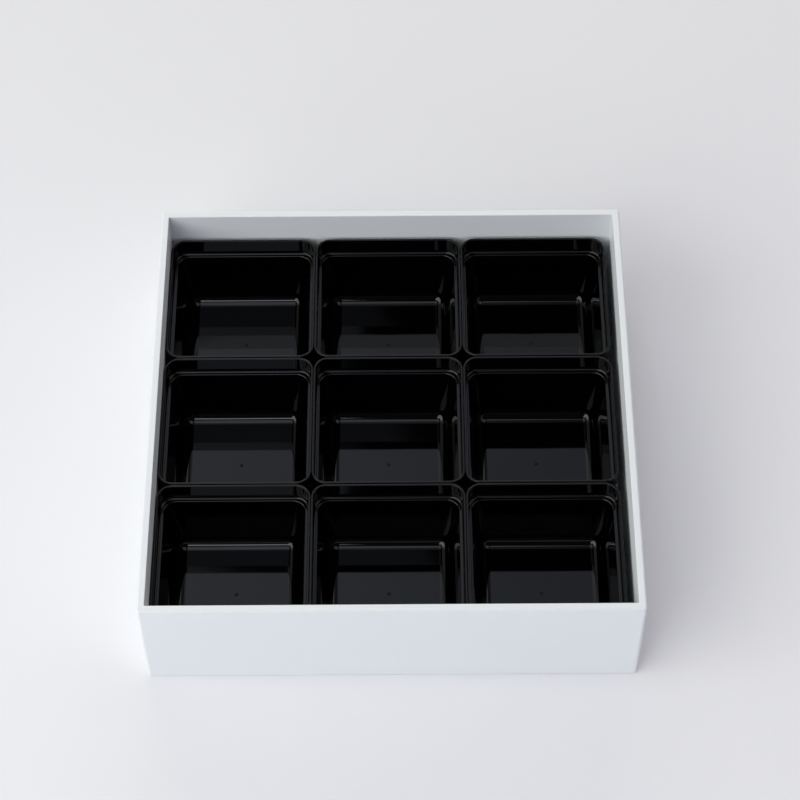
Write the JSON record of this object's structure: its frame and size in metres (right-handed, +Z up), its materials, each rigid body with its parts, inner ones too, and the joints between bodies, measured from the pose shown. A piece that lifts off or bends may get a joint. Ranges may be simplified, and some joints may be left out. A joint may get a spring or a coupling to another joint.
{
  "type": "bento box",
  "caption": "Low square open box in satin white plastic that holds loose glossy black cups in a grid; each cup has a rounded rim, a stacking ledge and tapered walls, and lifts straight out.",
  "frame": {"origin": "middle of the box's underside, on the surface that it stands on", "axes": "+Z up out of the open top, -Y towards the front, +X to the right seen from the front"},
  "size_m": [0.195, 0.195, 0.0525],
  "materials": {
    "white_box": "satin white, moulded",
    "black_cup": "high gloss black, moulded"
  },
  "bodies": {
    "box": {"outer_box": "white_box"},
    "cup_front_left": {"cup_front_left": "black_cup"},
    "cup_front_centre": {"cup_front_centre": "black_cup"},
    "cup_front_right": {"cup_front_right": "black_cup"},
    "cup_middle_left": {"cup_middle_left": "black_cup"},
    "cup_middle_centre": {"cup_middle_centre": "black_cup"},
    "cup_middle_right": {"cup_middle_right": "black_cup"},
    "cup_back_left": {"cup_back_left": "black_cup"},
    "cup_back_centre": {"cup_back_centre": "black_cup"},
    "cup_back_right": {"cup_back_right": "black_cup"}
  },
  "joints": [
    {"name": "cup_front_left_lift", "type": "slide", "parent": "box", "child": "cup_front_left", "axis": [0, 0, 1], "range_m": [0, 0.06]},
    {"name": "cup_front_centre_lift", "type": "slide", "parent": "box", "child": "cup_front_centre", "axis": [0, 0, 1], "range_m": [0, 0.06]},
    {"name": "cup_front_right_lift", "type": "slide", "parent": "box", "child": "cup_front_right", "axis": [0, 0, 1], "range_m": [0, 0.06]},
    {"name": "cup_middle_left_lift", "type": "slide", "parent": "box", "child": "cup_middle_left", "axis": [0, 0, 1], "range_m": [0, 0.06]},
    {"name": "cup_middle_centre_lift", "type": "slide", "parent": "box", "child": "cup_middle_centre", "axis": [0, 0, 1], "range_m": [0, 0.06]},
    {"name": "cup_middle_right_lift", "type": "slide", "parent": "box", "child": "cup_middle_right", "axis": [0, 0, 1], "range_m": [0, 0.06]},
    {"name": "cup_back_left_lift", "type": "slide", "parent": "box", "child": "cup_back_left", "axis": [0, 0, 1], "range_m": [0, 0.06]},
    {"name": "cup_back_centre_lift", "type": "slide", "parent": "box", "child": "cup_back_centre", "axis": [0, 0, 1], "range_m": [0, 0.06]},
    {"name": "cup_back_right_lift", "type": "slide", "parent": "box", "child": "cup_back_right", "axis": [0, 0, 1], "range_m": [0, 0.06]}
  ]
}
